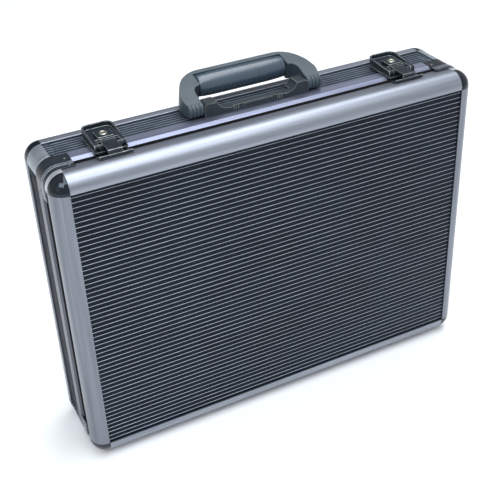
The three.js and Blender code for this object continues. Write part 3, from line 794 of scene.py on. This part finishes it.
# The linings: thin foam pads glued behind the face panels and covered with dark cloth, quilted
# in squares so that they keep their shape.
cloth = Finish("lining_cloth", linear(34, 34, 38), 0.92)
cloth.mottled(900, linear(26, 26, 29), linear(46, 46, 51), detail=6)
cloth.bump(cloth.noise(1800, 6), 0.5, 0.00025)
cloth.shader.inputs["Sheen Weight"].default_value = 0.3
quilt_square = 34
pad_margin = 2
for node, body, out in (("lid_lining", "lid", 1), ("base_lining", "base", -1)):
    low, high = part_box(node)
    nothing_selected()
    bpy.ops.mesh.primitive_grid_add(x_subdivisions=150, y_subdivisions=110, size=1)
    pad = bpy.context.object
    pad.scale = (high.x - low.x - 2 * pad_margin * MM, high.z - low.z - 2 * pad_margin * MM, 1)
    pad.rotation_euler = (math.pi / 2, 0, 0)
    pad.location = (0, (low.y + high.y) / 2, (low.z + high.z) / 2)
    settled(pad, node + "_look")
    for vertex in pad.data.vertices:
        x = vertex.co.x / MM / quilt_square * math.pi
        z = (vertex.co.z / MM - mid_height) / quilt_square * math.pi
        puff = (abs(math.cos(x)) * abs(math.cos(z))) ** 0.5
        vertex.co.y += out * (0.35 + 0.55 * puff) * MM
    shell = pad.modifiers.new("cloth", "SOLIDIFY")
    shell.thickness = 0.9 * MM
    shell.offset = 0
    bpy.ops.object.modifier_apply(modifier="cloth")
    finish_mesh(pad, 0, smooth=60)
    paint(pad, cloth.material, body)
    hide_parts(node)

# The two hinges under the case: steel leaves folded round a pin, riveted to the slopes of the
# groove. Their shape is already right, so they only get their finish.
hinge_steel = Finish("hinge_steel", linear(184, 184, 176), 0.3, 1.0, (0.1, 1, 1))
hinge_steel.mottled(300, linear(168, 168, 162), linear(196, 196, 190))
hinge_steel.roughness(hinge_steel.noise(1200), 0.24, 0.42)
for hand in ("left", "right"):
    for node in ("base_hinge_leaf_" + hand, "lid_hinge_leaf_" + hand):
        leaf = bpy.data.objects[node]
        leaf.data.materials.clear()
        leaf.data.materials.append(hinge_steel.material)

# The four feet: moulded rubber studs with a dished sole and a steel screw in the middle.
rubber = Finish("foot_rubber", linear(26, 26, 27), 0.85)
rubber.mottled(200, linear(20, 20, 21), linear(36, 36, 38))
rubber.bump(rubber.noise(1500), 0.3, 0.0001)
for node in ("foot_front_left", "foot_front_right", "foot_back_left", "foot_back_right"):
    low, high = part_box(node)
    middle = (low + high) / 2
    nothing_selected()
    bpy.ops.mesh.primitive_cone_add(
        vertices=48, radius1=5.4 * MM, radius2=5.1 * MM, depth=high.z - low.z, location=middle)
    stud = settled(bpy.context.object, node + "_look")
    mesh = edit(stud, "FACE")
    pick(mesh, "faces", lambda f: f.normal.z < -0.9)
    bpy.ops.mesh.inset(thickness=2.4 * MM, depth=0)
    bpy.ops.mesh.inset(thickness=0.2 * MM, depth=-1.6 * MM)
    finish_mesh(stud, 0.5, 3)
    paint(stud, rubber.material, "base")
    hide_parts(node)
    screw_head = (middle.x / MM, middle.y / MM, low.z / MM + 1.7)
    screw = dome(node + "_screw", 2, screw_head, (1, 1, 0.4))
    paint(screw, rivet_metal.material, "base")

# The catches: folded plates riveted to the lid's slope, each with a lip that its hook pulls on.
# Latches are drawn over the middle of the top, as (across, from front, height), and moved out.
latch_x = 159
seat = 0.3
latch_metal = Finish("latch_metal", linear(30, 37, 44), 0.3, 0.3)
latch_metal.mottled(70, linear(25, 31, 38), linear(38, 46, 54))
latch_metal.roughness(latch_metal.noise(700), 0.24, 0.38)
latch_metal.bump(latch_metal.noise(1800), 0.1, 0.00004)
# The bevelled edges of the latch pieces take a light metal: a painted highlight along the edges.
edge_highlight_metal = Finish("latch_edge_painted_highlight", linear(128, 136, 136), 0.3, 0.6)
edge_highlight_metal.mottled(350, linear(96, 104, 106), linear(158, 165, 164), spread=(0.35, 0.65))
edge_highlight_metal.roughness(edge_highlight_metal.noise(900), 0.22, 0.4)


def clad(piece, *materials):
    """Gives a piece its materials before its edges are softened: the last is for the edges, with a
    painted highlight.
    """
    piece.data.materials.clear()
    for material in materials:
        piece.data.materials.append(material)
    return piece


def own(piece, slot, body, *nodes):
    """Fixes a clad piece to its body and hides the nodes it stands for."""
    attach(piece, body)
    if nodes:
        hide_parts(*nodes)
    return piece


def block(name, low, high, rounding=0, where=lambda at: True):
    """A block from its low corner to its high one, with upright edges rounded where asked."""
    nothing_selected()
    size = [(b - a) * MM for a, b in zip(low, high)]
    middle = [(a + b) / 2 * MM for a, b in zip(low, high)]
    bpy.ops.mesh.primitive_cube_add(size=1, location=middle, scale=size)
    made = settled(bpy.context.object, name)
    if rounding:
        mesh = edit(made)
        pick(mesh, "edges", lambda e: abs(e.verts[0].co.z - e.verts[1].co.z) > size[2] / 2
             and where(e.verts[0].co / MM))
        bpy.ops.mesh.bevel(offset=rounding * MM, segments=8, affect="EDGES")
        only(made)
    return made


def barrel(name, radius, x0, x1, y, z):
    """A round bar along X."""
    nothing_selected()
    bpy.ops.mesh.primitive_cylinder_add(
        vertices=40, radius=radius * MM, depth=(x1 - x0) * MM,
        location=((x0 + x1) / 2 * MM, y * MM, z * MM), rotation=(0, math.pi / 2, 0))
    return settled(bpy.context.object, name)


def metal_part(piece, bevel=0.25, segments=2):
    """Gives a latch piece its metal, with a painted highlight on its edges."""
    clad(piece, latch_metal.material, edge_highlight_metal.material)
    return finish_mesh(piece, bevel, segments, trim=1)


def bent(name, outline, half, x=0):
    """A plate bent to a drawn section, (from front, height), centred on x."""
    plate = drawn_face(name, [(front, -height) for front, height in outline], x - half)
    pull(x=2 * half)
    only(plate)
    return plate


def to_latches(piece, name, slot, body, stands_for=None):
    """Puts a copy of a latch piece at both latches."""
    for hand, x in (("left", -latch_x), ("right", latch_x)):
        twin = place(copy_of(piece, name + "_" + hand + "_look"), 0, (x, case_front, case_top))
        own(twin, slot, body.format(hand), *([stands_for.format(hand)] if stands_for else []))
    bpy.data.objects.remove(piece)




def slope_height(front):
    """How far the lid's slope lies below the top, at a distance from the front."""
    return -(front - lid_flat_end) / slope_length * groove


catch_front = lid_flat_end + 1.3
catch_back = parting - 0.3
catch = bent("catch", [
    (catch_front, slope_height(catch_front) + 0.3),
    (catch_back, slope_height(catch_back) + 0.3),
    (catch_back, slope_height(catch_back) + 1.5),
    (catch_front + 1.6, slope_height(catch_front + 1.6) + 1.5),
    (catch_front + 1.6, 2.6),
    (catch_front + 1.2, 3),
    (catch_front + 0.3, 3),
    (catch_front, 2.6),
], 16.5)
to_latches(metal_part(catch, 0.2), "latch_catch", "dark_metal", "lid", "latch_catch_{}")

# The latch bases: pressed plates riveted over the closing rail, with raised rails down both sides
# and two lugs that carry the lever's pivot.
plate_end = base_start + 40
plate_thick = 1.5
base_plate = block("plate", (-16.5, base_start, seat), (16.5, plate_end, seat + plate_thick), 2.5)
pieces = [metal_part(base_plate, 0.3)]
for x in (-16.2, -14.4, 15.0):
    rail = block("rail", (x, base_start + 2, seat + 1), (x + 0.8, plate_end - 3, seat + 2.1))
    pieces.append(metal_part(rail, 0.2))
lever_eye = 2.9
pivot_front = base_start + 4.9
pivot_height = seat + plate_thick + clearance + lever_eye
for x0 in (-10.2, 7.5):
    lug = block("lug", (x0, pivot_front - 2.6, seat), (x0 + 2.7, pivot_front + 2.6, pivot_height))
    knuckle = barrel("knuckle", 2.6, x0, x0 + 2.7, pivot_front, pivot_height)
    pieces += [metal_part(lug, 0.2), metal_part(knuckle, 0.2)]
pieces.append(metal_part(barrel("pin", 1.3, -13, 13, pivot_front, pivot_height), 0))
to_latches(joined("latch_base", pieces), "latch_base", "dark_metal", "base", "latch_base_{}")
for x in (-12, 12):
    rivet = dome("rivet", 1.6, (x, plate_end - 3.5, seat + plate_thick), (1, 1, 0.45))
    clad(rivet, rivet_metal.material)
    to_latches(rivet, "latch_rivet_" + ("a" if x < 0 else "b"), "steel", "base")

# The levers: die-cast plates with a raised rim round a sunk field, two arms down to the pivot,
# and the raised square seat of the lock with a bright ring round its cylinder.
lever_top = pivot_height + lever_eye
plate_front = pivot_front + 8.3
hood_end = pivot_front + 40
hood_foot = lever_top - 3.8
rim_start, rim_run, rim_rise = 50, 18, 2.2
hood = block("hood", (-15.5, plate_front, hood_foot), (15.5, hood_end, lever_top),
             7.5, lambda at: at.y > (plate_front + hood_end) / 2)
mesh = edit(hood, "FACE")
pick(mesh, "faces", lambda f: f.normal.z > 0.9)
bpy.ops.mesh.inset(thickness=1.6 * MM, depth=0)
bpy.ops.mesh.inset(thickness=0.5 * MM, depth=-2.3 * MM)
for vertex in mesh.verts:
    if vertex.co.z > (lever_top - 1) * MM:
        vertex.co.z += rim_rise * MM * min(1, max(0, (vertex.co.y / MM - rim_start) / rim_run))
pieces = [metal_part(hood, 0.35, 3)]
arm_section = [
    (front, -depth) for front, depth in arc((pivot_front, -pivot_height), lever_eye, 90, 270, 16)]
arm_section += [(plate_front + 1, lever_top), (plate_front + 1, hood_foot)]
arm_section += [(pivot_front + 3.4, hood_foot)]
for x in (-13, 13):
    pieces.append(metal_part(bent("arm", arm_section, 2.5, x), 0.6, 3))
key_front = plate_front + 1
key_middle = key_front + 8
key_seat_top = lever_top + 1.3
key_seat = block("seat", (-7.9, key_front, lever_top - 3), (8.5, key_front + 15.6, key_seat_top), 1.5)
pieces.append(metal_part(key_seat, 0.45, 3))
to_latches(joined("lever", pieces), "latch_lever", "dark_metal", "latch_lever_{}", "latch_lever_{}")
bright_metal = Finish("bright_ring", linear(206, 206, 198), 0.18, 1.0)
bright_metal.mottled(500, linear(192, 192, 184), linear(220, 219, 210))
bright_metal.roughness(bright_metal.noise(1200), 0.12, 0.26)
nothing_selected()
bpy.ops.mesh.primitive_torus_add(
    major_segments=48, minor_segments=16, major_radius=3.5 * MM, minor_radius=0.5 * MM,
    location=(0, key_middle * MM, key_seat_top * MM))
ring = settled(bpy.context.object)
bpy.ops.object.shade_smooth()
clad(ring, bright_metal.material)
to_latches(ring, "lock_ring", "steel", "latch_lever_{}")

# The hooks: steel tongues bent down at the nose, hung on a pin between the lever's arms, that reach
# over the catch's lip.
hook_front, hook_height = pivot_front + 6, pivot_height + 1.2
nose = hook_front - 21
hook_section = [
    (front, -depth) for front, depth in arc((hook_front, -hook_height), 1.8, -126, 135, 16)]
hook_section += [
    (hook_front - 3, hook_height - 0.9), (nose + 3, hook_height - 0.9), (nose + 2, 3.4), (nose, 3.4),
    (nose, hook_height - 0.4), (nose + 0.5, hook_height + 0.6), (nose + 1.5, hook_height + 1.1),
    (hook_front - 3, hook_height + 1.1),
]
tongue_bar = metal_part(bent("hook", hook_section, 7), 0.3, 3)
hook_pin = metal_part(barrel("hook_pin", 1.1, -12.7, 12.7, hook_front, hook_height), 0)
to_latches(joined("hook", [tongue_bar, hook_pin]), "latch_hook", "dark_metal", "latch_hook_{}",
           "latch_hook_{}")

# The key cylinders: brass barrels that turn in the levers' lock seats, each with a keyway cut
# across its face.
brass = Finish("key_brass", linear(232, 226, 200), 0.24, 1.0)
brass.mottled(500, linear(214, 208, 182), linear(240, 235, 214))
brass.roughness(brass.noise(1000), 0.18, 0.32)
plug_foot, plug_top = lever_top - 3.5, lever_top + 1.6
nothing_selected()
bpy.ops.mesh.primitive_cylinder_add(
    vertices=48, radius=2.75 * MM, depth=(plug_top - plug_foot) * MM,
    location=(0, key_middle * MM, (plug_top + plug_foot) / 2 * MM))
plug = settled(bpy.context.object)
notch(plug, (-0.4, key_middle - 1.7, plug_top - 1.5), (0.4, key_middle + 1.7, plug_top + 1))
clad(plug, brass.material)
finish_mesh(plug, 0.2)
to_latches(plug, "lock_plug", "steel", "lock_plug_{}", "lock_plug_{}")

# The handle's base: a moulded bar screwed to the top, with a block at each end for the pivot
# pins, a scooped middle with a blank label field, and a few stiffening ribs.
moulding = Finish("base_moulding", linear(34, 42, 46), 0.42)
moulding.mottled(60, linear(30, 37, 41), linear(39, 48, 52))
moulding.roughness(moulding.noise(500), 0.36, 0.5)
moulding.bump(moulding.noise(1600), 0.2, 0.00006)
# The moulding's bevelled edges take a light grey: a painted highlight along the edges.
painted_highlight_edge = Finish("moulding_edge_painted_highlight", linear(140, 148, 148), 0.45)
painted_highlight_edge.mottled(300, linear(112, 122, 124), linear(164, 170, 168))
handle_front = 56
handle_height = 7.4
base_half = 57
block_top = seat + 13.5
block_end = base_half - 13


def curve(start, control, end, steps=12):
    """Points of a smooth bend from start to end, pulled towards the control point."""
    points = []
    for i in range(steps + 1):
        t = i / steps
        points.append(tuple(
            (1 - t) ** 2 * a + 2 * t * (1 - t) * b + t ** 2 * c
            for a, b, c in zip(start, control, end)))
    return points


def slab(name, outline, thickness):
    """A slab drawn face on, as (across, height), and centred on its thickness along Y."""
    made = drawn_face(name, [(across, -height) for across, height in outline], -thickness / 2)
    pull(x=thickness)
    only(made)
    made.rotation_euler = (0, 0, -math.pi / 2)
    return settled(made)


def moulded(piece, bevel):
    """Gives a piece the moulding's plastic, with a painted highlight on its edges."""
    clad(piece, moulding.material, painted_highlight_edge.material)
    return finish_mesh(piece, bevel, 2, trim=1)


def mirrored(points):
    """The same outline on the other side of the middle, walked the other way."""
    return [(-across, height) for across, height in points[::-1]]


right_half = (
    [(base_half, seat)]
    + arc((base_half - 3, block_top - 3), 3, 0, 90, 6)
    + curve((block_end, block_top), (block_end - 3, seat + 4.6), (block_end - 15, seat + 4.8), 16)
    + [(block_end - 18, seat + 6.4)]
)
bar = slab("bar", right_half + mirrored(right_half), 15)
notch(bar, (-38, -0.5, seat + 2), (38, 9, seat + 20))
pieces = [moulded(bar, 0.35)]
for end in (-1, 1):
    for x in (21.5, 24, 26.5):
        rib = block("rib", (end * x - 0.5, -7.9, seat + 1.6), (end * x + 0.5, 0, seat + 5.6))
        pieces.append(moulded(rib, 0.2))
    pin = barrel("pin", 3, *sorted((end * 55, end * 71)), 0, handle_height)
    clad(pin, moulding.material)
    pieces.append(finish_mesh(pin, 0.3))
label = block("label", (-16, -7.8, seat + 1.8), (16, -7.2, seat + 5.4))
pieces.append(moulded(label, 0.15))
handle_bar = joined("handle_base_look", pieces)
place(handle_bar, 0, (0, case_front + handle_front, case_top))
own(handle_bar, "grey_plastic", "base", "handle_base")

# The handle: one moulded arch of grey plastic on two grooved pivot barrels, notched for a thick
# soft grip. It is drawn upright about its pivot line and then leant back on the case.
grip_plastic = Finish("grip_plastic", linear(50, 64, 74), 0.3)
grip_plastic.mottled(50, linear(50, 65, 77), linear(56, 72, 84))
grip_plastic.roughness(grip_plastic.noise(600), 0.22, 0.32)
grip_plastic.shader.inputs["Specular IOR Level"].default_value = 0.8
grip_plastic.bump(grip_plastic.noise(1400), 0.03, 0.00002)
arm_plastic = Finish("arm_plastic", linear(50, 62, 70), 0.46)
arm_plastic.mottled(50, linear(45, 57, 65), linear(56, 68, 76))
arm_plastic.roughness(arm_plastic.noise(600), 0.4, 0.55)
arm_plastic.bump(arm_plastic.noise(1400), 0.3, 0.00008)
lean = 75
grip_reach = 33.6
grip_half = 48
taper_height = 24
barrel_inner, barrel_outer = 57.3, 72.7


def turned(name, profile, height=0):
    """A body turned about X: its profile, (across, radius), is drawn from axis to axis and spun."""
    body = drawn_line(name, [(across, 0, height + radius) for across, radius in profile])
    bpy.ops.mesh.spin(
        steps=64, angle=2 * math.pi, center=(0, 0, height * MM), axis=(1, 0, 0))
    return body


def lean_back(piece):
    """Leans a piece back about the pivot line and puts it on the case."""
    pivot = Vector((0, case_front + handle_front, case_top + handle_height)) * MM
    piece.matrix_world = Matrix.Translation(pivot) @ Matrix.Rotation(math.radians(-lean), 4, "X")
    return settled(piece)


grip_profile = [(-grip_half, 0), (-grip_half, 9.4), (-grip_half + 0.6, 10)]
for step in range(25):
    across = -grip_half + 1.5 + (2 * grip_half - 3) * step / 24
    end = 1 - abs(across) / grip_half
    grip_profile.append((across, 11.5 - 1.1 * (1 - end) ** 6))
grip_profile += [(grip_half - 0.6, 10), (grip_half, 9.4), (grip_half, 0)]
grip = turned("handle_grip", grip_profile, grip_reach)
finish_mesh(grip, 0, smooth=50)
clad(lean_back(grip), grip_plastic.material)
own(grip, "grey_plastic", "handle", "handle")

shoulder = (59.5, 40.5)
arch_top = 46.9
right_side = (
    [(barrel_outer, 0), (barrel_outer + 1.6, 8)]
    + curve((barrel_outer + 1.9, 13), (barrel_outer - 3.7, 33), shoulder, 5)
    + curve(shoulder, (51, arch_top), (grip_half - 6, arch_top), 6)[1:]
)
inner_side = (
    [(grip_half + 0.5, 41.5), (grip_half + 0.5, 24.6)]
    + curve((grip_half + 2, 23.4), (barrel_inner, 23), (barrel_inner, 13), 10)
    + [(barrel_inner, 0)]
)
arch = slab("arch", right_side + mirrored(right_side) + mirrored(inner_side) + inner_side, 19)
edit(arch)
bpy.ops.mesh.select_all(action="SELECT")
bpy.ops.mesh.bisect(plane_co=(0, 0, taper_height * MM), plane_no=(0, 0, 1))
only(arch)
for vertex in arch.data.vertices:
    vertex.co.y *= 0.7 + 0.3 * min(1, max(0, vertex.co.z / MM / taper_height))
finish_mesh(arch, 2, 5)
clad(arch, arm_plastic.material)
knuckle_profile = [(barrel_inner, 0), (barrel_inner, 6.5), (barrel_inner + 0.5, 7)]
for groove_at in (61, 65, 69):
    knuckle_profile += [
        (groove_at, 7), (groove_at + 0.2, 6.3), (groove_at + 1, 6.3), (groove_at + 1.2, 7)]
knuckle_profile += [(barrel_outer - 0.8, 7), (barrel_outer, 6.2), (barrel_outer, 0)]
knuckle = turned("knuckle", knuckle_profile)
finish_mesh(knuckle, 0, smooth=30)
clad(knuckle, arm_plastic.material)
other_knuckle = copy_of(knuckle, "other_knuckle")
place(other_knuckle, 180, (0, 0, 0))
arch = joined("handle_arch", [arch, knuckle, other_knuckle])
own(lean_back(arch), "grey_plastic", "handle", "handle")
